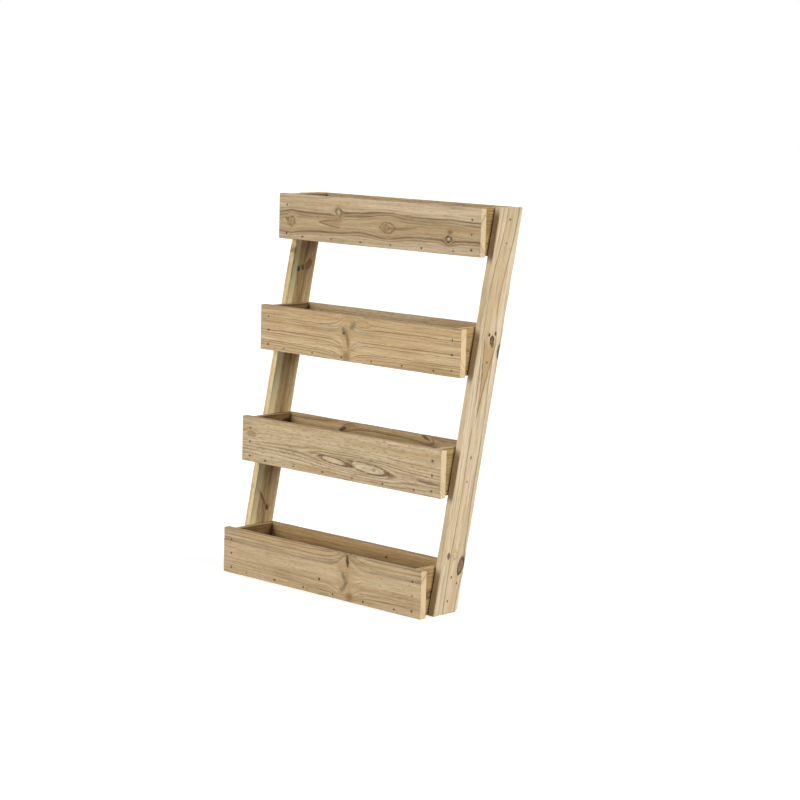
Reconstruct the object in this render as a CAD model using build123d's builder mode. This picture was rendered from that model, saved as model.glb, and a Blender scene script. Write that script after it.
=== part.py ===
"""Vertical planter stand: four level nailed troughs, stepped back between two leaning uprights.

Millimetres. +Z is up and the stand faces -Y. The origin is on the floor, at the middle of the
stand's width and depth. Left and right are as seen from the front.
"""

import math
import os

from build123d import *

os.makedirs("parts", exist_ok=True)

# Stock: planed softwood of one thickness, in two widths
board_thickness = 22.0
trough_board_width = 135.0
upright_width = 95.0
arris_radius = 3.0
foot_heel_radius = 10.0

# Layout of the troughs
overall_width = 800.0
tier_names = ("bottom", "lower", "upper", "top")
tier_pitch = 330.0
tier_setback = 67.0

# Lost-head nails, set just below the face of the wood. There are over a hundred,
# so each round shank is drawn with six flats.
nail_radius = 1.7
nail_flats = 6
nail_set_depth = 0.6
trough_nail_length = 50.0
side_nail_length = 40.0

# Where the nails go, up from the underside of a trough
end_nail_heights = (18.0, 61.0, 102.0)
side_nail_heights = (36.0, 102.0)
base_nail_count = 6
base_nail_pitch = 120.0

# Drain holes in each base
drain_hole_radius = 6.0
drain_hole_count = 2
drain_hole_pitch = 360.0

# Sizes that follow: a base is trough stock laid flat between the front and back boards
tiers = range(len(tier_names))
trough_depth = trough_board_width + 2 * board_thickness
overall_depth = tiers[-1] * tier_setback + trough_depth
overall_height = tiers[-1] * tier_pitch + trough_board_width
half_width = overall_width / 2
inner_half_width = half_width - board_thickness
half_base = inner_half_width - board_thickness
end_board_x = inner_half_width - board_thickness / 2

# The uprights lean with the steps, their rear edge level with each trough's back at its top
lean_slope = tier_setback / tier_pitch
upright_run = upright_width * math.hypot(1, lean_slope)
stand_front_y = -overall_depth / 2
upright_foot_y = stand_front_y + trough_depth - lean_slope * trough_board_width - upright_run


def trough_nails(floor, y, facing):
    """Planes at the nails in a front or back board: a column at each end, a row into the base."""
    places = [(x, floor + rise) for x in (-end_board_x, end_board_x) for rise in end_nail_heights]
    first_x = -base_nail_pitch * (base_nail_count - 1) / 2
    for index in range(base_nail_count):
        places.append((first_x + index * base_nail_pitch, floor + board_thickness / 2))
    return [Plane(origin=(x, y, z), z_dir=(0, facing, 0)) for x, z in places]


def side_nails(tier, side):
    """Planes at the nails through the middle of one upright into a tier's end board."""
    planes = []
    for rise in side_nail_heights:
        height = tier * tier_pitch + rise
        middle_y = upright_foot_y + lean_slope * height + upright_run / 2
        planes.append(Plane(origin=(side * half_width, middle_y, height), z_dir=(side, 0, 0)))
    return planes


def nails_between(planes, low_x, high_x):
    """Those nails in a front or back board that reach the board behind it there."""
    return [plane for plane in planes if low_x < plane.origin.X < high_x]


def make_nails(planes, length):
    """Nails driven square to the wood at each plane, one solid each."""
    with BuildPart() as nails:
        with BuildSketch(*[plane.offset(-nail_set_depth) for plane in planes]):
            RegularPolygon(nail_radius, nail_flats)
        extrude(amount=-length)
    return nails


def make_board(section, across, rise, length, driven=(), reached=(), from_side=(), drains=()):
    """A board with rounded arrises, run out along its grain from the plane of its section.

    The nails at driven go right through it. Those at reached and from_side come through the
    board outside it and end within it.
    """
    with BuildPart() as board:
        with BuildSketch(section):
            RectangleRounded(across, rise, arris_radius)
        extrude(amount=length)
        if driven:
            with BuildSketch(*driven):
                RegularPolygon(nail_radius, nail_flats)
            extrude(amount=-board_thickness, mode=Mode.SUBTRACT)
        for planes, nail_length in ((reached, trough_nail_length), (from_side, side_nail_length)):
            if planes:
                with BuildSketch(*[plane.offset(-board_thickness) for plane in planes]):
                    RegularPolygon(nail_radius, nail_flats)
                hole_depth = nail_length + nail_set_depth - board_thickness
                extrude(amount=-hole_depth, mode=Mode.SUBTRACT)
        if drains:
            with Locations(*drains):
                Hole(radius=drain_hole_radius, depth=board_thickness)
    return board


def make_upright(side, nails):
    """A leaning plank of planed stock, sawn level at its foot and head, with a rounded heel."""
    inner_face = Plane(origin=(side * inner_half_width, 0, 0), x_dir=(0, 1, 0), z_dir=(1, 0, 0))
    head_y = upright_foot_y + lean_slope * overall_height
    with BuildPart() as upright:
        with BuildSketch(inner_face) as profile:
            with BuildLine():
                Polyline(
                    (upright_foot_y, 0),
                    (upright_foot_y + upright_run, 0),
                    (head_y + upright_run, overall_height),
                    (head_y, overall_height),
                    close=True,
                )
            make_face()
            heel = profile.vertices().group_by(Axis.Y)[0].sort_by(Axis.X)[-1]
            fillet(heel, radius=foot_heel_radius)
        extrude(amount=side * board_thickness)
        long_edges = upright.edges().filter_by(Axis((0, 0, 0), (0, lean_slope, 1)))
        fillet(long_edges, radius=arris_radius)
        with BuildSketch(*nails):
            RegularPolygon(nail_radius, nail_flats)
        extrude(amount=-board_thickness, mode=Mode.SUBTRACT)
    return upright


def across_x(x, y, z):
    """The plane of a board's section, centred at a point, where the grain runs along +X."""
    return Plane(origin=(x, y, z), x_dir=(0, 1, 0), z_dir=(1, 0, 0))


def across_y(x, y, z):
    """The plane of a board's section, centred at a point, where the grain runs along +Y."""
    return Plane(origin=(x, y, z), x_dir=(-1, 0, 0), z_dir=(0, 1, 0))


def keep(piece, name):
    """Label a finished piece and write it to its own file."""
    piece.part.label = name
    export_step(piece.part, f"parts/{name}.step")


# Uprights
sides = {"left": -1, "right": 1}
for side_name, side in sides.items():
    plank_nails = [nail for tier in tiers for nail in side_nails(tier, side)]
    keep(make_upright(side, plank_nails), f"{side_name}_upright")

# Troughs
for tier, tier_name in enumerate(tier_names):
    floor = tier * tier_pitch
    middle_z = floor + trough_board_width / 2
    front_y = stand_front_y + tier * tier_setback
    back_y = front_y + trough_depth
    front_nails = trough_nails(floor, front_y, -1)
    back_nails = trough_nails(floor, back_y, 1)

    section = across_x(-half_width, front_y + board_thickness / 2, middle_z)
    sizes = (board_thickness, trough_board_width, overall_width)
    keep(make_board(section, *sizes, driven=front_nails), f"{tier_name}_front_board")

    section = across_x(-inner_half_width, back_y - board_thickness / 2, middle_z)
    sizes = (board_thickness, trough_board_width, 2 * inner_half_width)
    keep(make_board(section, *sizes, driven=back_nails), f"{tier_name}_back_board")

    for side_name, side in sides.items():
        section = across_y(side * end_board_x, front_y + board_thickness, middle_z)
        end_board = make_board(
            section,
            board_thickness,
            trough_board_width,
            trough_board_width,
            reached=nails_between(
                front_nails + back_nails,
                side * end_board_x - board_thickness / 2,
                side * end_board_x + board_thickness / 2,
            ),
            from_side=side_nails(tier, side),
        )
        keep(end_board, f"{tier_name}_{side_name}_end")

    middle_y = (front_y + back_y) / 2
    drain_reach = drain_hole_pitch * (drain_hole_count - 1) / 2
    base = make_board(
        across_x(-half_base, middle_y, floor + board_thickness / 2),
        trough_board_width,
        board_thickness,
        2 * half_base,
        reached=nails_between(front_nails + back_nails, -half_base, half_base),
        drains=[
            Plane(origin=(index * drain_hole_pitch - drain_reach, middle_y, floor + board_thickness))
            for index in range(drain_hole_count)
        ],
    )
    keep(base, f"{tier_name}_base")

    keep(make_nails(front_nails, trough_nail_length), f"{tier_name}_front_nails")
    keep(make_nails(back_nails, trough_nail_length), f"{tier_name}_back_nails")
    tier_side_nails = side_nails(tier, -1) + side_nails(tier, 1)
    keep(make_nails(tier_side_nails, side_nail_length), f"{tier_name}_side_nails")

print("overall size", overall_width, overall_depth, overall_height)
print("lean in degrees", round(math.degrees(math.atan(lean_slope)), 2))
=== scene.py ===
"""Looks of the planter stand: planed pine boards with their own figure and knots, set nails."""

import math

import bpy
import numpy as np
from mathutils import Matrix, Vector


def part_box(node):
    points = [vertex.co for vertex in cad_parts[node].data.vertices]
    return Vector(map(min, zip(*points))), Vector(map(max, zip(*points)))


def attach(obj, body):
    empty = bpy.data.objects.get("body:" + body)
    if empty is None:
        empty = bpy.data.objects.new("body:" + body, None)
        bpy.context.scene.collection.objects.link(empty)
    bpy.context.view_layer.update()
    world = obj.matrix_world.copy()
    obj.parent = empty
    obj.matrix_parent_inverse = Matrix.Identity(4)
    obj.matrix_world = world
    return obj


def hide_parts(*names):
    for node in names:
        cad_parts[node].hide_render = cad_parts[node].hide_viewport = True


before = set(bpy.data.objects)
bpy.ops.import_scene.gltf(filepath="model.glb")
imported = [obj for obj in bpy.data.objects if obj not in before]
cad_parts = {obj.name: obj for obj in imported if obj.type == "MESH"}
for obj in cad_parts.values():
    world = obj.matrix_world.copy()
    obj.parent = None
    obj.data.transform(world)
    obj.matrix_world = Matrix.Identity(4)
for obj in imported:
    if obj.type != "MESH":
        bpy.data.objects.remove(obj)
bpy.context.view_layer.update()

MM = 0.001

# Camera, fitted to the straight edges of the boards
CAMERA_PLACE = (4.40874, -4.60501, 1.46501)
CAMERA_YAW, CAMERA_PITCH, CAMERA_ROLL = 42.9322, 8.1628, 1.6141
CAMERA_FOCAL_PX = 2222.05
IMAGE_PX = 800
SENSOR_MM = 36.0

# Layout of the stand, in millimetres, as the solids have it
BOARD_THICKNESS = 22.0
NAIL_SET_DEPTH = 0.6
TIERS = ("bottom", "lower", "upper", "top")
TIER_PITCH = 330.0
TIER_SETBACK = 67.0
LEAN_SLOPE = TIER_SETBACK / TIER_PITCH
UPRIGHT_WIDTH = 95.0
END_NAIL_HEIGHTS = (18.0, 61.0, 102.0)
SIDE_NAIL_HEIGHTS = (36.0, 102.0)
BASE_NAIL_XS = (-300.0, -180.0, -60.0, 60.0, 180.0, 300.0)
END_NAIL_XS = (-367.0, 367.0)

# Edges and marks of the wood
ARRIS_RADIUS = 3.0
SAWN_EDGE_RADIUS = 0.9
HEEL_RADIUS = 10.0
PIT_RADIUS = 2.9
PIT_DEPTH = 1.3

# Grid lines of a board: how far apart they are along, across and through it, and how far in from
# its sawn ends and its sides the close ones are
GRID_STEPS = (11.0, 10.0, 6.0)
SAWN_END_LINES = (0.9, 2.0, 4.5)
SIDE_LINES = (0.3, 0.8, 1.5, 2.3, 3.2, 5.0)


def millimetres(node):
    """The lowest and highest corners of a node, in millimetres."""
    low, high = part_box(node)
    return np.array(low) / MM, np.array(high) / MM


# Boards as grids of lines, closer together at edges and nails


def grid_lines(half, step, edge_steps, fine_places=(), fine_reach=3.6, fine_step=0.9):
    """Places of grid lines from -half to half: even ones, closer ones at both ends and at nails."""
    count = max(2, round(2 * half / step))
    even = np.linspace(-half, half, count + 1)[1:-1]
    even = even[np.abs(even) < half - edge_steps[-1] - step / 3]
    ends = np.array(edge_steps)
    lines = [np.array([-half, half]), even, half - ends, ends - half]
    fine = np.arange(-fine_reach, fine_reach + fine_step / 2, fine_step)
    for place in fine_places:
        lines = [some[np.abs(some - place) > fine_reach + fine_step / 2] for some in lines]
        near = place + fine
        lines.append(near[np.abs(near) < half - 0.2])
    lines = np.unique(np.round(np.concatenate(lines + [np.array([-half, half])]), 3))
    keep = np.concatenate([[True], np.diff(lines) > 0.25])
    keep[-1] = True
    return lines[keep]


def shell(lines):
    """The points and the outward quads of the six sides of a block of grid lines."""
    shape = [len(some) for some in lines]
    grid = np.stack(np.meshgrid(*lines, indexing="ij"), -1)
    outside = np.zeros(shape, bool)
    for axis in range(3):
        outside.swapaxes(0, axis)[[0, -1]] = True
    index = np.full(shape, -1)
    index[outside] = np.arange(outside.sum())
    quads = []
    for axis in range(3):
        for last in (False, True):
            side = index.take(-1 if last else 0, axis)
            corners = (side[:-1, :-1], side[1:, :-1], side[1:, 1:], side[:-1, 1:])
            some = np.stack(corners, -1).reshape(-1, 4)
            quads.append(some if last != (axis == 1) else some[:, ::-1])
    return grid[outside], np.concatenate(quads)


def waves(points, lengths, seed, count=7):
    """Smooth noise of about -1 to 1: sines in random directions, with given lengths in mm."""
    random = np.random.default_rng(seed)
    total = np.zeros(len(points))
    for _ in range(count):
        direction = random.normal(size=3)
        direction /= np.linalg.norm(direction)
        phase = random.uniform(0, 2 * math.pi)
        total += np.sin(points / np.array(lengths) @ direction * 2 * math.pi + phase)
    return total / math.sqrt(count / 2) / 1.6


def round_corner(first, second, half_first, half_second, radius):
    """Moves points in the square corners of a rectangle into quarter discs."""
    out_first = np.abs(first) - (half_first - radius)
    out_second = np.abs(second) - (half_second - radius)
    corner = (out_first > 0) & (out_second > 0)
    reach = np.maximum(out_first, out_second)
    length = np.hypot(out_first, out_second) + 1e-9
    scale = np.where(corner, reach / length, 1.0)
    new_first = np.where(corner, np.sign(first) * (half_first - radius + out_first * scale), first)
    new_second = np.where(
        corner, np.sign(second) * (half_second - radius + out_second * scale), second
    )
    return new_first, new_second


def shape_board(points, half, seed, wear):
    """Rounds a block's arrises and sawn ends unevenly, and makes its faces slightly uneven."""
    along, across, through = points.T
    arris = ARRIS_RADIUS * (1 + 0.28 * waves(points, (90, 60, 60), seed))
    new_across, new_through = round_corner(across, through, half[1], half[2], arris)
    inward = np.minimum(half[1] - np.abs(new_across), half[2] - np.abs(new_through))
    out_across = np.maximum(np.abs(across) - (half[1] - arris), 0)
    out_through = np.maximum(np.abs(through) - (half[2] - arris), 0)
    in_corner = (out_across > 0) & (out_through > 0)
    inward = np.where(in_corner, arris - np.maximum(out_across, out_through), inward)

    # Sawn ends: a small rounding of the edge, deeper where fibres tore out
    chips = np.maximum(waves(points, (9, 13, 7), seed + 1) - 0.55, 0) * wear
    edge = SAWN_EDGE_RADIUS * (1 + 0.4 * waves(points, (25, 18, 14), seed + 2)) + 2.2 * chips
    edge = np.maximum(edge, 0.3)
    is_end = np.abs(along) > half[0] - 1e-3
    drop = np.where(inward < edge, edge - np.sqrt(np.maximum(edge**2 - (edge - inward) ** 2, 0)), 0)
    saw = 0.10 * waves(points, (30, 2.6, 9), seed + 3) + 0.08 * waves(points, (30, 7, 3), seed + 4)
    end_drop = drop + 0.15 + saw
    new_along = np.where(is_end, along - np.sign(along) * end_drop, along)

    # Faces: long shallow waves, always inward, so that boards that touch stay clear
    dent = 0.14 * (1 + waves(points, (160, 45, 45), seed + 5))
    dent += 0.05 * (1 + waves(points, (40, 9, 9), seed + 6))
    face_through = np.abs(through) > half[2] - 1e-3
    face_across = np.abs(across) > half[1] - 1e-3
    new_through = new_through - np.where(face_through, np.sign(through) * dent, 0)
    new_across = new_across - np.where(face_across, np.sign(across) * dent, 0)
    return np.stack([new_along, new_across, new_through], -1)


def sink_pits(points, pits, seed):
    """Presses the nail pits into the face that they are on. Gives the points and a mask of dirt and
    painted shade in and round the pits.
    """
    pit_dirt_and_shade = np.zeros(len(points))
    random = np.random.default_rng(seed)
    for along, across, face, half_through in pits:
        radius = PIT_RADIUS * random.uniform(0.85, 1.2)
        squash = random.uniform(0.8, 1.25)
        on_face = points[:, 2] * face > half_through - 1.5
        distance = np.hypot(
            (points[:, 0] - along) / squash, (points[:, 1] - across) * squash
        )
        hole = np.clip(1 - distance / radius, 0, 1)
        depth = PIT_DEPTH * np.minimum(hole * 2.2, 1) * on_face
        rim = 0.12 * np.exp(-((distance - radius * 1.15) / 0.9) ** 2) * on_face
        points[:, 2] += face * (rim - depth)
        pit_dirt_and_shade = np.maximum(pit_dirt_and_shade, np.clip(1.5 - distance / radius, 0, 1) * on_face)
    return points, pit_dirt_and_shade


def add_mesh(name, points, quads, pit_dirt_and_shade):
    """A mesh object at the origin, from points in metres and how much dirt and painted shade of the
    nail pits each has.
    """
    mesh = bpy.data.meshes.new(name)
    mesh.from_pydata(points.tolist(), [], quads.tolist())
    mesh.validate()
    layer = mesh.attributes.new("pit_dirt_and_shade", "FLOAT", "POINT")
    layer.data.foreach_set("value", pit_dirt_and_shade.astype(np.float32))
    mesh.polygons.foreach_set("use_smooth", np.ones(len(mesh.polygons), bool))
    thing = bpy.data.objects.new(name, mesh)
    bpy.context.scene.collection.objects.link(thing)
    return thing


def make_board(node, centre, axes, size, pits=(), seed=0, wear=1.0, shear=0.0, heel=False):
    """A board that replaces a node. Its axes run along the grain, across it and through it."""
    half = np.array(size) / 2
    pits_along = sorted({pit[0] for pit in pits})
    pits_across = sorted({pit[1] for pit in pits})
    lines = (
        grid_lines(half[0], GRID_STEPS[0], SAWN_END_LINES, pits_along),
        grid_lines(half[1], GRID_STEPS[1], SIDE_LINES, pits_across),
        grid_lines(half[2], GRID_STEPS[2], SIDE_LINES),
    )
    points, quads = shell(lines)
    points = shape_board(points, half, seed, wear)
    if heel:
        # The lower end at the rear, which is across the grain to the negative side
        shifted = points[:, 0] + half[0], points[:, 1] + half[1]
        near = (shifted[0] < HEEL_RADIUS) & (shifted[1] < HEEL_RADIUS)
        out = [HEEL_RADIUS - some for some in shifted]
        scale = np.maximum(*out) / (np.hypot(*out) + 1e-9)
        for axis in range(2):
            moved = HEEL_RADIUS - out[axis] * scale - half[axis]
            points[:, axis] = np.where(near, moved, points[:, axis])
    points, pit_dirt_and_shade = sink_pits(points, [(*pit, half[2]) for pit in pits], seed + 7)
    points[:, 0] -= shear * points[:, 1]
    world = (np.array(centre) + points @ np.array(axes)) * MM
    board = add_mesh(node + "_wood", world, quads, pit_dirt_and_shade)
    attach(board, "root")
    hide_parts(node)
    return board


# Materials


class Graph:
    """Adds nodes to a material. Each call gives a socket, so that a formula reads as one."""

    def __init__(self, material):
        material.use_nodes = True
        self.tree = material.node_tree
        self.tree.nodes.clear()

    def add(self, kind, inputs=None, **settings):
        node = self.tree.nodes.new(kind)
        for key, value in settings.items():
            setattr(node, key, value)
        for key, value in (inputs or {}).items():
            self.feed(node.inputs[key], value)
        return node

    def feed(self, socket, value):
        if isinstance(value, bpy.types.NodeSocket):
            self.tree.links.new(value, socket)
        else:
            socket.default_value = value

    def math(self, operation, *values):
        node = self.add("ShaderNodeMath", operation=operation)
        for socket, value in zip(node.inputs, values):
            self.feed(socket, value)
        return node.outputs[0]

    def step(self, value, low, high, to_low=0.0, to_high=1.0):
        """A smooth step of the value between two levels."""
        inputs = {
            "Value": value, "From Min": low, "From Max": high, "To Min": to_low, "To Max": to_high
        }
        node = self.add("ShaderNodeMapRange", inputs, interpolation_type="SMOOTHSTEP")
        return node.outputs["Result"]

    def dot(self, vector, direction):
        node = self.add("ShaderNodeVectorMath", operation="DOT_PRODUCT")
        self.feed(node.inputs[0], vector)
        self.feed(node.inputs[1], tuple(direction))
        return node.outputs["Value"]

    def place(self, along, across, through, scales, offset):
        """A point for a noise, with each axis scaled."""
        parts = [
            self.math("MULTIPLY_ADD", value, scale, shift)
            for value, scale, shift in zip((along, across, through), scales, offset)
        ]
        return self.add("ShaderNodeCombineXYZ", dict(zip("XYZ", parts))).outputs[0]

    def noise(self, vector, detail=2.0, roughness=0.5):
        inputs = {"Vector": vector, "Scale": 1.0, "Detail": detail, "Roughness": roughness}
        return self.add("ShaderNodeTexNoise", inputs).outputs["Fac"]

    def noise_line(self, value, scale, seed):
        """Noise along a line."""
        node = self.add("ShaderNodeTexNoise", noise_dimensions="1D")
        self.feed(node.inputs["W"], self.math("MULTIPLY_ADD", value, scale, seed))
        self.feed(node.inputs["Scale"], 1.0)
        self.feed(node.inputs["Detail"], 1.0)
        return node.outputs["Fac"]

    def ramp(self, value, stops):
        node = self.add("ShaderNodeValToRGB", {"Fac": value})
        elements = node.color_ramp.elements
        for element, (position, colour) in zip(elements, (stops[0], stops[-1])):
            element.position = position
            element.color = (*colour, 1.0)
        for position, colour in stops[1:-1]:
            elements.new(position).color = (*colour, 1.0)
        return node.outputs["Color"]

    def profile(self, value, stops, reach=75.0):
        """An amount for a value, straight between stops of a value and an amount."""
        share = self.math("MULTIPLY_ADD", value, 0.5 / reach, 0.5)
        greys = [(at / (2 * reach) + 0.5, (amount,) * 3) for at, amount in stops]
        return self.ramp(share, greys)

    def mix(self, factor, first, second, blend="MIX"):
        node = self.add("ShaderNodeMix", data_type="RGBA", blend_type=blend)
        colours = [s for s in node.inputs if s.type == "RGBA"]
        self.feed(node.inputs[0], factor)
        for socket, value in zip(colours, (first, second)):
            self.feed(socket, (*value, 1.0) if isinstance(value, tuple) else value)
        return [s for s in node.outputs if s.type == "RGBA"][0]


# Colours of the wood
PALE = (0.70, 0.555, 0.355)
TAN = (0.585, 0.425, 0.235)
LATE = (0.135, 0.078, 0.038)
HEART = (0.41, 0.255, 0.105)
OLIVE = (0.40, 0.33, 0.16)
BRIGHT = (0.80, 0.68, 0.48)
KNOT_BROWN = (0.17, 0.085, 0.042)
KNOT_TAN = (0.43, 0.295, 0.155)
KNOT_GREEN = (0.20, 0.195, 0.115)
BARK = (0.045, 0.028, 0.018)
SAWN = (0.72, 0.555, 0.345)
# The dark of the nail pits: dirt, and painted shade of the dents
PIT_BROWN = (0.070, 0.048, 0.032)

# A knot longer than this for its width is a loop of the rings
LOOP_STRETCH = 3.0


def knot(along, across, radius, stretch=1.2, slope=0.0, colour=KNOT_TAN, fill=0.9, soft=0.12,
         rim=0.6, flow=1.4, halo=0.35, uneven=1.5):
    """A knot or a loop of a board's figure, placed in millimetres from the board's middle.

    The stretch is along the grain, and the rings part round it at flow times its radius.
    """
    return {
        "along": along, "across": across, "radius": radius, "stretch": stretch, "slope": slope,
        "colour": colour, "fill": fill, "soft": soft, "rim": rim, "flow": flow, "halo": halo,
        "uneven": uneven,
    }


def figure(pith=(0.0, 55.0), ring=8.5, rings=0.4, sway=(), wander=1.5, lines=(), zones=(),
           stipple=0.3, warm=0.0, tint=None, face_tint=None, knots=(), flames=()):
    """How a board looks: its pith's place across it and behind its face, and what the face shows.

    The rings are a distance apart on the face, and sway is their height along the board.
    Lines are dark rings of a height, a width and a darkness. Zones are heights and how brown.
    """
    return {
        "pith": pith, "ring": ring, "rings": rings, "sway": sway, "wander": wander,
        "lines": lines, "zones": zones, "stipple": stipple, "warm": warm, "tint": tint,
        "face_tint": face_tint, "knots": knots, "flames": flames,
    }


def line_stops(lines):
    """The stops of a profile that peaks at each line."""
    keys = sorted({level + side * width for level, width, _ in lines for side in (-1, 0, 1)})
    return [
        (key, max(dark * max(0.0, 1 - abs(key - level) / width) for level, width, dark in lines))
        for key in keys
    ]


def board_position(g, centre, axes):
    """Millimetres from the board's centre: along the grain, across it and through the board."""
    in_mm = g.add("ShaderNodeVectorMath", operation="SCALE")
    g.feed(in_mm.inputs[0], g.add("ShaderNodeTexCoord").outputs["Object"])
    g.feed(in_mm.inputs["Scale"], 1 / MM)
    local = g.add("ShaderNodeVectorMath", operation="SUBTRACT")
    g.feed(local.inputs[0], in_mm.outputs[0])
    g.feed(local.inputs[1], tuple(float(value) for value in centre))
    return [g.dot(local.outputs[0], axis) for axis in axes]


def sway_rings(g, level, u, sway):
    """Lets the height of the rings rise and fall along the board."""
    for (from_u, from_v), (to_u, to_v) in zip(sway, sway[1:]):
        level = g.math("SUBTRACT", level, g.step(u, from_u, to_u, 0.0, to_v - from_v))
    if sway:
        level = g.math("SUBTRACT", level, sway[0][1])
    return level


def part_rings(g, level, u, v, knots, rough, ripple):
    """Parts the height of the rings round the knots.

    Also gives each knot with its distance to an uneven outline and to its middle. Long loops of
    the figure have smoother outlines than knots.
    """
    layers = []
    for item in knots:
        du = g.math("SUBTRACT", u, item["along"])
        dv = g.math("SUBTRACT", v, item["across"])
        dv = g.math("MULTIPLY_ADD", du, -item["slope"], dv)
        square = g.math("ADD", g.math("POWER", g.math("DIVIDE", du, item["stretch"]), 2.0),
                        g.math("POWER", dv, 2.0))
        far = g.math("SQRT", square)
        flow = item["flow"] * item["radius"]
        if flow:
            push = g.math("DIVIDE", flow**2, g.math("MAXIMUM", square, flow**2))
            level = g.math("SUBTRACT", level, g.math("MULTIPLY", dv, push))
            level = g.math("ADD", level, g.math("MAXIMUM", g.math("SUBTRACT", flow, far), 0.0))
        is_loop = item["stretch"] > LOOP_STRETCH
        uneven = g.math("SUBTRACT", ripple if is_loop else rough, 0.5)
        near = g.math("MULTIPLY_ADD", uneven, item["uneven"] * item["radius"], far)
        layers.append((item, near, far, is_loop))
    return level, layers


def rings_to_face(g, level, w, pith, ripple):
    """The height at which the ring at a point within the board comes out on its face."""
    pith_v, depth = pith
    dv = g.math("SUBTRACT", level, pith_v)
    dw = g.math("ADD", w, depth - BOARD_THICKNESS / 2)
    square = g.math("ADD", g.math("POWER", dv, 2.0), g.math("POWER", dw, 2.0))
    height = g.math("SQRT", g.math("MAXIMUM", g.math("SUBTRACT", square, depth**2), 0.0))
    height = g.math("MULTIPLY_ADD", g.math("SIGN", dv), height, pith_v)
    return g.math("MULTIPLY_ADD", g.math("SUBTRACT", ripple, 0.5), 4.5, height)


def ring_darkness(g, height, spec, seed):
    """Each ring darkens slowly and ends sharply, and some are darker than others."""
    count = g.math("DIVIDE", height, spec["ring"])
    count = g.math("MULTIPLY_ADD", g.noise_line(height, 0.07, seed * 1.7), 2.4, count)
    late = g.ramp(g.math("FRACT", count), [
        (0.0, (0.5,) * 3), (0.06, (0.0,) * 3), (0.5, (0.05,) * 3),
        (0.80, (0.55,) * 3), (0.92, (1.0,) * 3), (1.0, (0.8,) * 3),
    ])
    strength = g.step(g.noise_line(count, 0.55, seed * 2.3 + 4), 0.30, 0.68, 0.30, 1.0)
    late = g.math("MULTIPLY", g.math("MULTIPLY", late, strength), spec["rings"])
    if spec["lines"]:
        late = g.math("MAXIMUM", late, g.profile(height, line_stops(spec["lines"])))
    return late


def colour_flames(g, colour, u, v, flames, ripple):
    """Brown flames that narrow to a point."""
    for tip_u, tip_v, base_u, base_v, width, power, dark in flames:
        share = g.math("DIVIDE", g.math("SUBTRACT", u, tip_u), base_u - tip_u)
        middle = g.math("MULTIPLY_ADD", share, base_v - tip_v, tip_v)
        off = g.math("ABSOLUTE", g.math("SUBTRACT", v, middle))
        off = g.math("MULTIPLY_ADD", g.math("SUBTRACT", ripple, 0.5), 9.0, off)
        half = g.math("MULTIPLY", g.math("POWER", g.math("MAXIMUM", share, 0.0), power), width)
        off = g.math("SUBTRACT", off, half)
        ends = g.math("MULTIPLY", g.step(share, 0.0, 0.08), g.step(share, 0.9, 1.08, 1.0, 0.0))
        inside = g.math("MULTIPLY", g.step(off, -2.2, 0.8, 1.0, 0.0), ends)
        colour = g.mix(g.math("MULTIPLY", inside, dark), colour, HEART)
        outline = g.math("MULTIPLY", g.step(g.math("ABSOLUTE", off), 0.8, 2.6, 1.0, 0.0), ends)
        colour = g.mix(g.math("MULTIPLY", outline, dark), colour, LATE)
    return colour


def colour_knots(g, colour, layers, rough):
    """Knots: a brown halo, their own rings, a dark heart and a broken dark rim."""
    broken = g.step(rough, 0.36, 0.54, 0.35, 1.0)
    for item, near, far, is_loop in layers:
        size, soft, core = item["radius"], item["soft"], item["colour"]
        if item["halo"]:
            colour = g.mix(g.step(far, size * 0.8, size * 2.2, item["halo"], 0.0), colour, HEART)
        if not is_loop:
            turns = g.math("SINE", g.math("MULTIPLY", near, 1.5))
            core = g.mix(g.math("MULTIPLY_ADD", turns, 0.16, 0.16), core, LATE)
            core = g.mix(g.step(near, 0.0, size * 0.4, 0.4, 0.0), core, BARK)
        inside = g.step(near, size * (1 - soft), size * (1 + soft), item["fill"], 0.0)
        colour = g.mix(inside, colour, core)
        if item["rim"]:
            off = g.math("ABSOLUTE", g.math("SUBTRACT", near, size))
            rim = g.step(off, 0.8, 1.9 + 0.10 * size, item["rim"], 0.0)
            rim = g.math("MULTIPLY", rim, broken)
            colour = g.mix(rim, colour, LATE if is_loop else BARK)
    return colour


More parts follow.
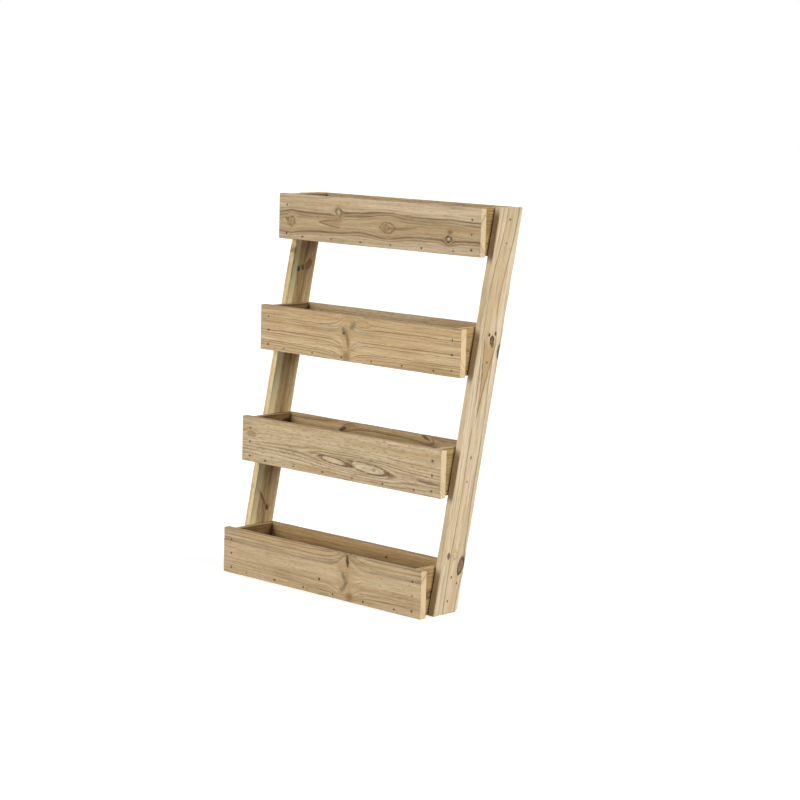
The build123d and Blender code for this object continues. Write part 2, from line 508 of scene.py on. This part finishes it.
def pine(name, centre, axes, spec, seed):
    """Pine cut from a log: rings about a pith, parted by knots, the same on faces and ends.

    All lengths are in millimetres, and the face that shows is the one on the third axis.
    """
    material = bpy.data.materials.new(name)
    g = Graph(material)
    random = np.random.default_rng(seed)
    shift = [float(value) for value in random.uniform(-80, 80, 3)]
    u, v, w = board_position(g, centre, axes)

    # Rings
    wander = g.noise(g.place(u, v, w, (0.0045, 0.012, 0.012), shift), 1.5)
    ripple = g.noise(g.place(u, v, w, (0.02, 0.10, 0.10), shift), 2.0, 0.55)
    rough = g.noise(g.place(u, v, w, (0.09, 0.12, 0.1), shift), 3.0, 0.62)
    patchy = g.noise(g.place(u, v, w, (0.008, 0.03, 0.03), shift), 2.0)
    level = g.math("MULTIPLY_ADD", g.math("SUBTRACT", wander, 0.5), 4 * spec["wander"], v)
    level = sway_rings(g, level, u, spec["sway"])
    level, knot_layers = part_rings(g, level, u, v, spec["knots"], rough, ripple)
    height = rings_to_face(g, level, w, spec["pith"], ripple)
    late = ring_darkness(g, height, spec, seed)
    late = g.math("MULTIPLY", late, g.step(patchy, 0.3, 0.6, 0.7, 1.0))

    # Body colour: pale and tan bands along the grain, some olive, browner heartwood
    bands = g.noise(g.place(u, v, w, (0.0022, 0.050, 0.050), shift), 2.5, 0.6)
    colour = g.mix(g.step(bands, 0.32, 0.66), PALE, TAN)
    hue = g.noise(g.place(u, v, w, (0.004, 0.028, 0.028), shift[::-1]), 2.0, 0.5)
    colour = g.mix(g.step(hue, 0.5, 0.75, 0.0, 0.45), colour, OLIVE)
    if spec["zones"]:
        colour = g.mix(g.profile(height, spec["zones"]), colour, HEART)
    if spec["warm"]:
        colour = g.mix(spec["warm"], colour, HEART)
    colour = g.mix(late, colour, LATE)

    # Narrow streaks along the grain, short dark dashes, and fibres
    streaky = g.noise(g.place(u, v, w, (0.010, 0.24, 0.24), shift[::-1]), 3.0, 0.65)
    colour = g.mix(g.step(streaky, 0.50, 0.72, 0.0, 0.34), colour, LATE)
    colour = g.mix(g.step(streaky, 0.28, 0.48, 0.34, 0.0), colour, BRIGHT)
    dashes = g.noise(g.place(u, v, w, (0.055, 0.30, 0.30), shift[::-1]), 2.0, 0.6)
    colour = g.mix(g.step(dashes, 0.54, 0.68, 0.0, spec["stipple"]), colour, LATE)
    fibre = g.noise(g.place(u, v, w, (0.05, 2.2, 2.2), shift), 3.0, 0.65)
    colour = g.mix(g.step(fibre, 0.35, 0.75, 0.0, 0.22), colour, LATE)
    colour = colour_flames(g, colour, u, v, spec["flames"], ripple)
    colour = colour_knots(g, colour, knot_layers, rough)

    # Sawn ends are paler and rougher
    normal = g.add("ShaderNodeTexCoord").outputs["Normal"]
    facing_end = g.step(g.math("ABSOLUTE", g.dot(normal, axes[0])), 0.55, 0.85)
    torn = g.noise(g.place(u, v, w, (0.3, 0.9, 0.35), shift), 3.0, 0.65)
    end_colour = g.mix(g.math("MULTIPLY", late, 0.75), SAWN, LATE)
    end_colour = g.mix(g.step(torn, 0.45, 0.72, 0.0, 0.35), end_colour, HEART)
    colour = g.mix(facing_end, colour, end_colour)

    # Nail pits and a ring round them are darkened: dirt, and painted shade of the dents
    pit_dirt_and_shade = g.add("ShaderNodeAttribute", attribute_name="pit_dirt_and_shade").outputs["Fac"]
    colour = g.mix(g.step(pit_dirt_and_shade, 0.1, 0.9, 0.0, 0.92), colour, PIT_BROWN)
    if spec["tint"]:
        colour = g.mix(1.0, colour, spec["tint"], "MULTIPLY")
    # Painted shade: the wide faces of a board darker than its edges, used on the end boards, whose
    # faces lie in shade
    if spec["face_tint"]:
        facing_side = g.step(g.math("ABSOLUTE", g.dot(normal, axes[2])), 0.5, 0.85)
        colour = g.mix(facing_side, colour, g.mix(1.0, colour, spec["face_tint"], "MULTIPLY"))

    # Relief: fibres, raised rings, saw marks on the ends
    relief = g.math("MULTIPLY_ADD", late, 0.6, g.math("MULTIPLY", fibre, 0.5))
    relief = g.math("MULTIPLY_ADD", dashes, 0.35, relief)
    end_relief = g.math("MULTIPLY_ADD", torn, 3.0, g.math("MULTIPLY", late, 0.5))
    relief_mix = g.add("ShaderNodeMix", data_type="FLOAT")
    for socket, value in zip(relief_mix.inputs[:1] + relief_mix.inputs[2:4],
                             (facing_end, relief, end_relief)):
        g.feed(socket, value)
    bump = g.add("ShaderNodeBump", {"Height": relief_mix.outputs[0], "Strength": 0.55,
                                    "Distance": 0.35 * MM})
    shine = g.step(g.math("ADD", late, g.math("MULTIPLY", fibre, 0.4)), 0.0, 1.0, 0.78, 0.62)
    shine = g.math("MULTIPLY_ADD", facing_end, 0.12, shine)
    shader = g.add("ShaderNodeBsdfPrincipled", {
        "Base Color": colour, "Roughness": shine, "Normal": bump.outputs[0],
        "Specular IOR Level": 0.28,
    })
    g.add("ShaderNodeOutputMaterial", {"Surface": shader.outputs[0]})
    return material


def steel(name):
    """Dull zinc on the set nails, stained brown in places."""
    material = bpy.data.materials.new(name)
    g = Graph(material)
    position = g.add("ShaderNodeTexCoord").outputs["Object"]
    spots = g.add("ShaderNodeTexNoise", {"Vector": position, "Scale": 900.0, "Detail": 3.0})
    colour = g.ramp(spots.outputs["Fac"], [
        (0.3, (0.045, 0.028, 0.018)), (0.55, (0.10, 0.075, 0.055)), (0.75, (0.19, 0.165, 0.14)),
    ])
    roughness = g.step(spots.outputs["Fac"], 0.3, 0.7, 0.75, 0.45)
    bump = g.add("ShaderNodeBump", {"Height": spots.outputs["Fac"], "Strength": 0.4,
                                    "Distance": 0.1 * MM})
    shader = g.add("ShaderNodeBsdfPrincipled", {
        "Base Color": colour, "Roughness": roughness, "Metallic": 0.3, "Normal": bump.outputs[0],
    })
    g.add("ShaderNodeOutputMaterial", {"Surface": shader.outputs[0]})
    return material


# Figures of the boards that show from the front, read off the photograph. The others are drawn.
FRONT_FIGURES = {
    "top": figure(
        pith=(-4.0, 62.0), ring=8.5, rings=0.38, wander=1.0, stipple=0.25,
        sway=((-400, -13), (-250, -9), (-60, 0), (400, 0)),
        lines=(
            (33, 2.8, 0.40), (23, 4.6, 1.0), (14, 3.4, 0.75), (6, 2.8, 0.40),
            (-17, 2.8, 0.45), (-26, 5.0, 1.0), (-34, 3.2, 0.70), (-42, 2.8, 0.40),
        ),
        zones=((-75, 0.0), (-42, 0.0), (-30, 0.50), (18, 0.40), (32, 0.0), (75, 0.0)),
        knots=(
            knot(-348, -12, 14, stretch=1.0, colour=KNOT_TAN, fill=0.5, soft=0.3, rim=0.7,
                 flow=1.15, uneven=2.4),
            knot(-151, 24, 13, stretch=0.9, slope=-0.3, colour=KNOT_GREEN, fill=0.4, rim=0.85,
                 flow=1.15, uneven=2.2),
            knot(-150, 25, 6, stretch=0.9, colour=BRIGHT, fill=0.6, rim=0.0, flow=0.0, halo=0.0),
            knot(-158, 4, 15, stretch=1.5, slope=0.5, colour=KNOT_TAN, fill=0.45, soft=0.5,
                 rim=0.0, flow=0.0, halo=0.2, uneven=1.6),
            knot(46, -8, 15, stretch=1.8, fill=0.2, soft=0.3, rim=0.55, flow=1.35, uneven=1.6),
            knot(41, -8, 8, stretch=1.2, colour=KNOT_TAN, fill=0.35, rim=0.5, flow=0.0,
                 uneven=2.2),
            knot(100, -7, 4.5, stretch=11.0, slope=0.05, colour=KNOT_BROWN, fill=0.5, soft=0.7,
                 rim=0.0, flow=1.0, halo=0.1, uneven=2.0),
            knot(282, -25, 9, stretch=1.2, colour=KNOT_GREEN, fill=0.7, rim=1.0, flow=1.5,
                 uneven=2.2),
            knot(283, -24, 3.5, colour=BRIGHT, fill=0.7, rim=0.0, flow=0.0, halo=0.0),
            knot(286, -4, 6, stretch=1.6, colour=KNOT_BROWN, fill=0.6, soft=0.5, rim=0.0,
                 flow=0.0),
        ),
        flames=((-236, -9, -142, -9, 12, 0.8, 0.65),),
    ),
    "upper": figure(
        pith=(6.0, 58.0), ring=9.5, rings=1.0, wander=0.8, stipple=0.22, warm=0.04,
        tint=(1.09, 1.04, 0.96),
        zones=((-75, 0.28), (-50, 0.1), (-25, 0.0), (25, 0.0), (45, 0.12), (75, 0.28)),
        knots=(
            knot(-42, 8, 34, stretch=0.55, colour=TAN, fill=0.35, soft=0.4, rim=0.0, flow=1.15),
            knot(-36, -6, 18, stretch=0.36, slope=-1.6, colour=KNOT_BROWN, fill=0.6, soft=0.6,
                 rim=0.0, flow=0.0, halo=0.0, uneven=1.6),
            knot(-50, 18, 11, stretch=0.9, slope=-0.6, colour=KNOT_GREEN, fill=0.85, soft=0.5,
                 rim=0.0, flow=0.0, halo=0.1, uneven=2.6),
            knot(-52, 14, 5, stretch=0.9, colour=BARK, fill=0.8, soft=0.5, rim=0.0, flow=0.0),
            knot(-18, 36, 10, stretch=1.1, slope=0.5, colour=KNOT_GREEN, fill=0.75, soft=0.5,
                 rim=0.0, flow=0.0, halo=0.1, uneven=2.6),
            knot(-40, -54, 12, stretch=1.1, colour=KNOT_BROWN, fill=0.5, soft=0.6, rim=0.0,
                 flow=0.0),
            knot(20, 46, 8, stretch=3.0, colour=PALE, fill=0.2, soft=0.4, rim=0.15, flow=1.3),
        ),
    ),
    "lower": figure(
        pith=(30.0, 64.0), ring=8.0, rings=0.32, wander=1.0, stipple=0.48,
        tint=(1.08, 1.09, 1.09),
        sway=((-400, 6), (400, -8)),
        lines=(
            (-3, 3.0, 0.60), (-11, 3.2, 0.80), (-20, 3.0, 0.65), (-30, 3.4, 0.70),
            (-41, 3.0, 0.60), (-52, 2.8, 0.50),
        ),
        zones=((-75, 0.0), (-40, 0.0), (-10, 0.0), (10, 0.15), (75, 0.20)),
        knots=(
            knot(-360, 18, 8, stretch=2.0, colour=KNOT_BROWN, fill=0.35, soft=0.6, rim=0.0),
            knot(-14, -17, 9, stretch=6.8, slope=-0.09, colour=BRIGHT, fill=0.40, soft=0.15,
                 rim=0.9, flow=1.5, halo=0.0, uneven=0.5),
            knot(122, -21, 13, stretch=5.8, slope=-0.07, colour=BRIGHT, fill=0.35, soft=0.15,
                 rim=0.9, flow=1.4, halo=0.0, uneven=0.4),
            knot(145, -22, 3.5, stretch=1.8, colour=KNOT_TAN, fill=0.5, rim=0.3, flow=0.0),
            knot(42, -20, 5, stretch=6.0, slope=-0.06, colour=KNOT_BROWN, fill=0.5, soft=0.6,
                 rim=0.0, flow=0.0, halo=0.0, uneven=1.0),
            knot(210, -27, 5, stretch=5.0, slope=-0.1, colour=KNOT_BROWN, fill=0.6, soft=0.6,
                 rim=0.0, flow=0.0, halo=0.0, uneven=1.0),
            knot(362, -29, 4.0, stretch=12.0, slope=-0.07, colour=KNOT_BROWN, fill=0.5, soft=0.4,
                 rim=0.3, flow=1.2, halo=0.0),
        ),
    ),
    "bottom": figure(
        pith=(-12.0, 60.0), ring=10.5, rings=0.68, wander=1.6, stipple=0.28, warm=0.06,
        tint=(1.03, 1.0, 0.96),
        sway=((-400, 4), (0, 0), (400, 6)),
        lines=((46, 3.2, 0.60), (26, 3.0, 0.40), (-24, 3.2, 0.45), (-38, 3.0, 0.40)),
        zones=((-75, 0.3), (-30, 0.1), (0, 0.0), (35, 0.0), (75, 0.3)),
        knots=(
            knot(112, 2, 40, stretch=0.55, colour=TAN, fill=0.3, soft=0.4, rim=0.0, flow=1.1),
            knot(103, 2, 11, stretch=0.9, slope=-1.1, colour=KNOT_GREEN, fill=0.75, soft=0.55,
                 rim=0.0, flow=0.0, halo=0.15, uneven=3.2),
            knot(108, -20, 9, stretch=1.0, slope=1.0, colour=KNOT_GREEN, fill=0.8, soft=0.5,
                 rim=0.0, flow=0.0, halo=0.15, uneven=3.2),
            knot(116, 50, 16, stretch=0.34, slope=-0.8, colour=BARK, fill=0.9, soft=0.4, rim=0.4,
                 flow=0.0, uneven=1.6),
            knot(4, -21, 3.2, stretch=1.0, colour=BARK, fill=0.85, rim=0.6, flow=1.4),
            knot(126, -52, 12, stretch=1.0, colour=KNOT_BROWN, fill=0.5, soft=0.6, rim=0.0,
                 flow=0.0),
            knot(95, -36, 7, stretch=1.0, colour=KNOT_BROWN, fill=0.4, soft=0.6, rim=0.0, flow=0.0),
        ),
    ),
}
UPRIGHT_FIGURES = {
    "right": figure(
        pith=(4.0, 70.0), ring=13.0, rings=0.30, wander=1.6, stipple=0.15,
        tint=(1.14, 1.19, 1.28),
        sway=((-560, -4), (-50, 0), (100, 8), (308, 21), (548, 0)),
        lines=((13, 3.4, 0.80), (-31, 3.4, 0.80), (-8, 2.6, 0.30), (30, 2.8, 0.4)),
        zones=((-75, 0.1), (-32, 0.0), (-30, 0.28), (12, 0.2), (14, 0.0), (34, 0.05), (75, 0.2)),
        knots=(
            knot(200, -7, 7.5, stretch=1.5, colour=KNOT_BROWN, fill=0.95, rim=1.0, flow=1.5),
            knot(213, 8, 3.4, stretch=1.3, colour=BARK, fill=0.9, rim=0.6, flow=1.3),
            knot(220, -17, 3.4, stretch=1.3, colour=BARK, fill=0.9, rim=0.6, flow=1.3),
            knot(187, -12, 4, stretch=1.5, colour=KNOT_BROWN, fill=0.8, rim=0.6, flow=0.0),
            knot(174, -44, 7, stretch=2.6, colour=KNOT_BROWN, fill=0.95, rim=0.9, flow=1.2),
            knot(-435, -32, 11, stretch=2.2, slope=-0.15, colour=KNOT_BROWN, fill=0.85, rim=1.0,
                 flow=1.2, uneven=1.0),
            knot(-412, 25, 5.5, stretch=1.5, colour=KNOT_BROWN, fill=0.9, soft=0.3, rim=0.5,
                 flow=1.2, uneven=1.2),
            knot(-408, -1, 7, stretch=1.5, colour=PALE, fill=0.4, rim=0.3, flow=1.2),
            knot(-485, -27, 2.4, colour=BARK, fill=0.8, rim=0.4, flow=0.0),
        ),
        flames=((-48, 6, 196, -2, 26, 1.7, 0.80),),
    ),
    "left": figure(
        pith=(-6.0, 58.0), ring=10.0, rings=0.55, wander=1.6, stipple=0.35,
        tint=(1.22, 1.21, 1.06),
        lines=((18, 3.4, 0.45), (-6, 4.6, 0.70), (-24, 3.2, 0.40)),
        # Browner across the middle of the face and towards its back, paler along its front
        zones=((-75, 0.1), (-36, 0.05), (-28, 0.65), (14, 0.6), (22, 0.0), (75, 0.0)),
        knots=(
            knot(337, 21, 6, colour=BARK, fill=1.0, soft=0.3, rim=0.6, uneven=2.6),
            knot(343, 3, 5, stretch=1.4, colour=KNOT_BROWN, fill=1.0, soft=0.3, rim=0.6,
                 uneven=2.6),
            knot(359, -20, 10, stretch=1.6, slope=-0.3, colour=KNOT_BROWN, fill=0.7, soft=0.3,
                 rim=0.5, uneven=2.2),
            knot(0, 34, 11, stretch=70.0, colour=(0.86, 0.76, 0.50), fill=0.80, soft=0.35,
                 rim=0.0, flow=0.0, halo=0.0, uneven=0.8),
            knot(390, 54, 8, stretch=1.8, colour=KNOT_BROWN, fill=0.75, soft=0.5, rim=0.3,
                 flow=1.0, uneven=2.5),
            knot(-368, 6, 5, stretch=4.5, slope=0.85, colour=KNOT_BROWN, fill=0.85, soft=0.35,
                 rim=0.3, flow=1.8, uneven=1.6),
            knot(-388, -12, 6, stretch=1.3, colour=BARK, fill=0.9, soft=0.3, rim=0.4, flow=1.2,
                 uneven=2.4),
        ),
        flames=((230, 0, 332, 12, 10, 0.8, 0.6),),
    ),
}
# Back boards: browner, more saturated and less blue than the front ones, partly their wood and
# partly painted shade of the troughs' insides
BACK_FIGURES = {
    "bottom": figure(
        pith=(20.0, 64.0), ring=12.0, rings=0.45, wander=2.0, stipple=0.25, warm=0.60,
        tint=(0.97, 0.89, 0.72),
        knots=(knot(118, 40, 3, colour=BARK, fill=0.8, rim=0.5),),
    ),
    "lower": figure(
        pith=(10.0, 60.0), ring=8.5, rings=0.75, wander=2.8, stipple=0.3, warm=0.30,
        tint=(1.00, 0.95, 0.80),
        knots=(
            knot(-134, 46, 5, stretch=2.4, slope=0.3, colour=BARK, fill=0.85, soft=0.5, rim=0.4,
                 flow=3.5, uneven=3.0),
            knot(196, 62, 4.5, stretch=2.8, slope=-0.3, colour=BARK, fill=0.8, soft=0.5, rim=0.4,
                 flow=3.5, halo=0.1, uneven=3.0),
        ),
    ),
}


def drawn_figure(seed, half_along, half_across):
    """A figure for a board that the photograph doesn't show well."""
    random = np.random.default_rng(seed)
    knots = []
    for _ in range(random.integers(1, 4) if half_along > 100 else random.integers(0, 2)):
        dark = random.random() < 0.4
        knots.append(knot(
            float(random.uniform(-0.9, 0.9) * half_along),
            float(random.uniform(-0.75, 0.75) * half_across),
            float(random.uniform(5, 12)),
            stretch=float(random.uniform(1.0, 1.8)),
            colour=KNOT_BROWN if dark else KNOT_TAN,
            rim=float(random.uniform(0.4, 0.9)),
        ))
    return figure(
        pith=(float(random.uniform(-30, 30)), float(random.uniform(50, 70))),
        ring=float(random.uniform(7.0, 11.0)),
        rings=float(random.uniform(0.4, 0.65)),
        wander=float(random.uniform(1.2, 2.4)),
        stipple=float(random.uniform(0.2, 0.5)),
        # Browner than the front boards, partly the wood and partly painted shade, as these boards
        # lie mostly inside the troughs
        warm=float(random.uniform(0.30, 0.60)),
        knots=tuple(knots),
    )


# Boards

# End boards: their strong rings, bright edges, painted shade that darkens their wide faces at the
# left and the right, and the thin gap to the upright, as where a nail hasn't quite drawn the boards
# together
END_RINGS = 0.95
END_TINT = (1.28, 1.27, 1.22)
END_FACE_PAINTED_SHADE = ((0.38, 0.31, 0.21), (0.61, 0.56, 0.41))
END_GAP = 2.2

X, Y, Z = np.eye(3)
LEAN = math.atan(LEAN_SLOPE)
GRAIN_UP = np.array([0.0, math.sin(LEAN), math.cos(LEAN)])
TO_FRONT = np.array([0.0, -math.cos(LEAN), math.sin(LEAN)])


def finish_board(node, axes, spec, seed, centre, **settings):
    """Makes a board and its material."""
    board = make_board(node, centre, axes, seed=seed, **settings)
    board.data.materials.append(pine(node + "_pine", centre, axes, spec, seed))
    return board


def long_board_pits(floor_to_middle, face):
    """The pits in a front or back board: a column at each end and a row into the base."""
    pits = [(x, rise - floor_to_middle, face) for x in END_NAIL_XS for rise in END_NAIL_HEIGHTS]
    base_rise = BOARD_THICKNESS / 2 - floor_to_middle
    return pits + [(x, base_rise, face) for x in BASE_NAIL_XS]


def make_tier(tier, name):
    """The five boards of a trough."""
    seed = 100 * (tier + 1)
    for part, face in (("front_board", 1), ("back_board", -1)):
        node = f"{name}_{part}"
        low, high = millimetres(node)
        size = (high - low)[[0, 2, 1]]
        known = FRONT_FIGURES if face > 0 else BACK_FIGURES
        spec = known.get(name) or drawn_figure(seed + 3, size[0] / 2, size[1] / 2)
        board = finish_board(
            node, (X, Z, -Y), spec, seed + 10 * face, (low + high) / 2,
            size=size, pits=long_board_pits(size[1] / 2, face), wear=1.8,
        )
    for index, side in enumerate(("left", "right")):
        node = f"{name}_{side}_end"
        low, high = millimetres(node)
        if side == "left":
            low[0] += END_GAP
        else:
            high[0] -= END_GAP
        size = (high - low)[[1, 2, 0]]
        spec = drawn_figure(seed + 20 + index, size[0] / 2, size[1] / 2)
        spec.update(rings=END_RINGS, tint=END_TINT, face_tint=END_FACE_PAINTED_SHADE[index])
        board = finish_board(
            node, (Y, Z, X), spec, seed + 20 + index, (low + high) / 2, size=size
        )
    node = f"{name}_base"
    low, high = millimetres(node)
    spec = drawn_figure(seed + 30, half_along=350, half_across=65)
    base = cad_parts[node]
    base.data.materials.clear()
    base.data.materials.append(
        pine(node + "_pine", (low + high) / 2, (X, Y, Z), spec, seed + 30)
    )


def make_upright(side_name, side):
    """A leaning upright, cut level at its foot and its head."""
    node = f"{side_name}_upright"
    low, high = millimetres(node)
    height = high[2]
    length = height / math.cos(LEAN)
    centre = (low + high) / 2
    pits = []
    for tier in range(len(TIERS)):
        for rise in SIDE_NAIL_HEIGHTS:
            z = tier * TIER_PITCH + rise
            pits.append(((z - height / 2) / math.cos(LEAN), 0.0, side))
    board = finish_board(
        node, (GRAIN_UP, TO_FRONT, X), UPRIGHT_FIGURES[side_name], 900 + side, centre,
        size=(length, UPRIGHT_WIDTH, BOARD_THICKNESS), pits=pits, shear=LEAN_SLOPE, heel=True,
    )


for tier, name in enumerate(TIERS):
    make_tier(tier, name)
for side_name, side in (("left", -1), ("right", 1)):
    make_upright(side_name, side)


# Nails

HEAD_RADIUS = 1.9
SHANK_RADIUS = 1.5
NAIL_SIDES = 12
TROUGH_NAIL_LENGTH = 49.0
SIDE_NAIL_LENGTH = 39.0

# The heads lie a little deeper than the solids' nails begin, near the bottom of the pits
HEAD_DEPTH = NAIL_SET_DEPTH + 0.35


def nail_points(length):
    """A lost-head nail pointing down -Z, its head at the origin: rings of points, then a tip."""
    profile = (
        (0.0, 0.12), (0.8, 0.10), (HEAD_RADIUS - 0.25, 0.0), (HEAD_RADIUS, -0.3),
        (HEAD_RADIUS, -1.0), (SHANK_RADIUS, -2.6), (SHANK_RADIUS, 5.0 - length), (0.0, -length),
    )
    turns = np.arange(NAIL_SIDES) * 2 * math.pi / NAIL_SIDES
    rings = [
        np.stack([radius * np.cos(turns), radius * np.sin(turns), np.full(NAIL_SIDES, z)], -1)
        for radius, z in profile[1:-1]
    ]
    points = np.concatenate([[(0, 0, profile[0][1])], *rings, [(0, 0, profile[-1][1])]])
    faces = []
    for step in range(NAIL_SIDES):
        after = (step + 1) % NAIL_SIDES
        faces.append([0, 1 + step, 1 + after])
        for ring in range(len(rings) - 1):
            top, under = 1 + ring * NAIL_SIDES, 1 + (ring + 1) * NAIL_SIDES
            faces.append([top + step, under + step, under + after, top + after])
        last = 1 + (len(rings) - 1) * NAIL_SIDES
        faces.append([last + after, last + step, len(points) - 1])
    return points, faces


def join_nails(node, places, length):
    """Nails as one mesh. Each has a place in millimetres on a face, and the way that it looks."""
    points, faces = nail_points(length)
    all_points, all_faces = [], []
    for place, outward in places:
        turn = np.array(Vector(outward).to_track_quat("Z", "Y").to_matrix())
        head = np.array(place) - HEAD_DEPTH * np.array(outward)
        start = sum(len(some) for some in all_points)
        all_points.append((points @ turn.T + head) * MM)
        all_faces += [[start + corner for corner in face] for face in faces]
    mesh = bpy.data.meshes.new(node + "_steel")
    mesh.from_pydata(np.concatenate(all_points).tolist(), [], all_faces)
    mesh.materials.append(nail_steel)
    nails = bpy.data.objects.new(node + "_steel", mesh)
    bpy.context.scene.collection.objects.link(nails)
    return nails


def make_trough_nails(node, board, out):
    """The nails through a front or back board, which looks out along Y."""
    low, high = millimetres(board)
    face_y = low[1] if out < 0 else high[1]
    half_rise = (high[2] - low[2]) / 2
    places = [
        ((x, face_y, low[2] + rise + half_rise), (0, out, 0))
        for x, rise, _ in long_board_pits(half_rise, out)
    ]
    return join_nails(node, places, TROUGH_NAIL_LENGTH)


def make_side_nails(node, tier):
    """The nails through both uprights into a trough's end boards."""
    places = []
    for side_name, side in (("left", -1), ("right", 1)):
        low, high = millimetres(f"{side_name}_upright")
        for rise in SIDE_NAIL_HEIGHTS:
            z = tier * TIER_PITCH + rise
            y = (low[1] + high[1]) / 2 + LEAN_SLOPE * (z - high[2] / 2)
            places.append(((high[0] if side > 0 else low[0], y, z), (side, 0, 0)))
    return join_nails(node, places, SIDE_NAIL_LENGTH)


nail_steel = steel("nail_zinc")
for tier, name in enumerate(TIERS):
    for part, out in (("front", -1), ("back", 1)):
        nails = make_trough_nails(f"{name}_{part}_nails", f"{name}_{part}_board", out)
        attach(nails, "root")
        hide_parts(f"{name}_{part}_nails")
    nails = make_side_nails(f"{name}_side_nails", tier)
    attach(nails, "root")
    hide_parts(f"{name}_side_nails")


# Stage, light and camera

# Half the floor's width in metres, how pale it is to the lamps and to the camera, and its glow,
# which keeps all but its deepest shade white
FLOOR_REACH = 30
FLOOR_PALE = 0.45
FLOOR_SEEN_PALE = 0.75
FLOOR_GLOW = 0.60
AMBIENT = 0.27

floor_mesh = bpy.data.meshes.new("floor")
corners = [(x * FLOOR_REACH, y * FLOOR_REACH, 0) for x, y in ((-1, -1), (1, -1), (1, 1), (-1, 1))]
floor_mesh.from_pydata(corners, [], [(0, 1, 2, 3)])
floor = bpy.data.objects.new("floor", floor_mesh)
bpy.context.scene.collection.objects.link(floor)
floor_material = bpy.data.materials.new("floor_white")
g = Graph(floor_material)
seen = g.add("ShaderNodeLightPath").outputs["Is Camera Ray"]
shade = g.mix(seen, (FLOOR_PALE,) * 3, (FLOOR_SEEN_PALE,) * 3)
shader = g.add("ShaderNodeBsdfDiffuse", {"Color": shade})
glow = g.add("ShaderNodeEmission", {"Strength": g.math("MULTIPLY", seen, FLOOR_GLOW)})
both = g.add("ShaderNodeAddShader")
g.feed(both.inputs[0], shader.outputs[0])
g.feed(both.inputs[1], glow.outputs[0])
g.add("ShaderNodeOutputMaterial", {"Surface": both.outputs[0]})
floor_mesh.materials.append(floor_material)


def sun(name, direction, strength, angle):
    """A soft sun that shines from a direction. Its strength is that of a white card facing it."""
    lamp = bpy.data.lights.new(name, "SUN")
    lamp.energy = strength * math.pi
    lamp.angle = math.radians(angle)
    thing = bpy.data.objects.new(name, lamp)
    thing.rotation_euler = Vector(direction).to_track_quat("Z", "Y").to_euler()
    bpy.context.scene.collection.objects.link(thing)


sun("side", (0.94, 0.14, 0.28), 0.85, 26)
sun("front", (-0.25, -0.93, 0.22), 0.70, 30)
sun("rear", (-0.45, 0.80, 0.35), 0.30, 60)

world = bpy.data.worlds.new("white")
bpy.context.scene.world = world
world.use_nodes = True
tree = world.node_tree
tree.nodes.clear()
path = tree.nodes.new("ShaderNodeLightPath")
ambient = tree.nodes.new("ShaderNodeBackground")
ambient.inputs["Color"].default_value = (1, 1, 1, 1)
ambient.inputs["Strength"].default_value = AMBIENT
backdrop = tree.nodes.new("ShaderNodeBackground")
backdrop.inputs["Color"].default_value = (1, 1, 1, 1)
blend = tree.nodes.new("ShaderNodeMixShader")
out = tree.nodes.new("ShaderNodeOutputWorld")
tree.links.new(path.outputs["Is Camera Ray"], blend.inputs[0])
tree.links.new(ambient.outputs[0], blend.inputs[1])
tree.links.new(backdrop.outputs[0], blend.inputs[2])
tree.links.new(blend.outputs[0], out.inputs[0])

yaw, pitch, roll = (math.radians(a) for a in (CAMERA_YAW, CAMERA_PITCH, CAMERA_ROLL))
forward = Vector((
    -math.sin(yaw) * math.cos(pitch), math.cos(yaw) * math.cos(pitch), -math.sin(pitch)
))
level = Vector((math.cos(yaw), math.sin(yaw), 0))
upward = level.cross(forward)
right = math.cos(roll) * level + math.sin(roll) * upward
top = -math.sin(roll) * level + math.cos(roll) * upward
camera_data = bpy.data.cameras.new("camera")
camera_data.sensor_width = SENSOR_MM
camera_data.lens = CAMERA_FOCAL_PX * SENSOR_MM / IMAGE_PX
camera_data.clip_end = 100
camera = bpy.data.objects.new("camera", camera_data)
camera.matrix_world = Matrix((
    (right.x, top.x, -forward.x, CAMERA_PLACE[0]),
    (right.y, top.y, -forward.y, CAMERA_PLACE[1]),
    (right.z, top.z, -forward.z, CAMERA_PLACE[2]),
    (0, 0, 0, 1),
))
bpy.context.scene.collection.objects.link(camera)
bpy.context.scene.camera = camera
bpy.context.scene.view_settings.view_transform = "Standard"
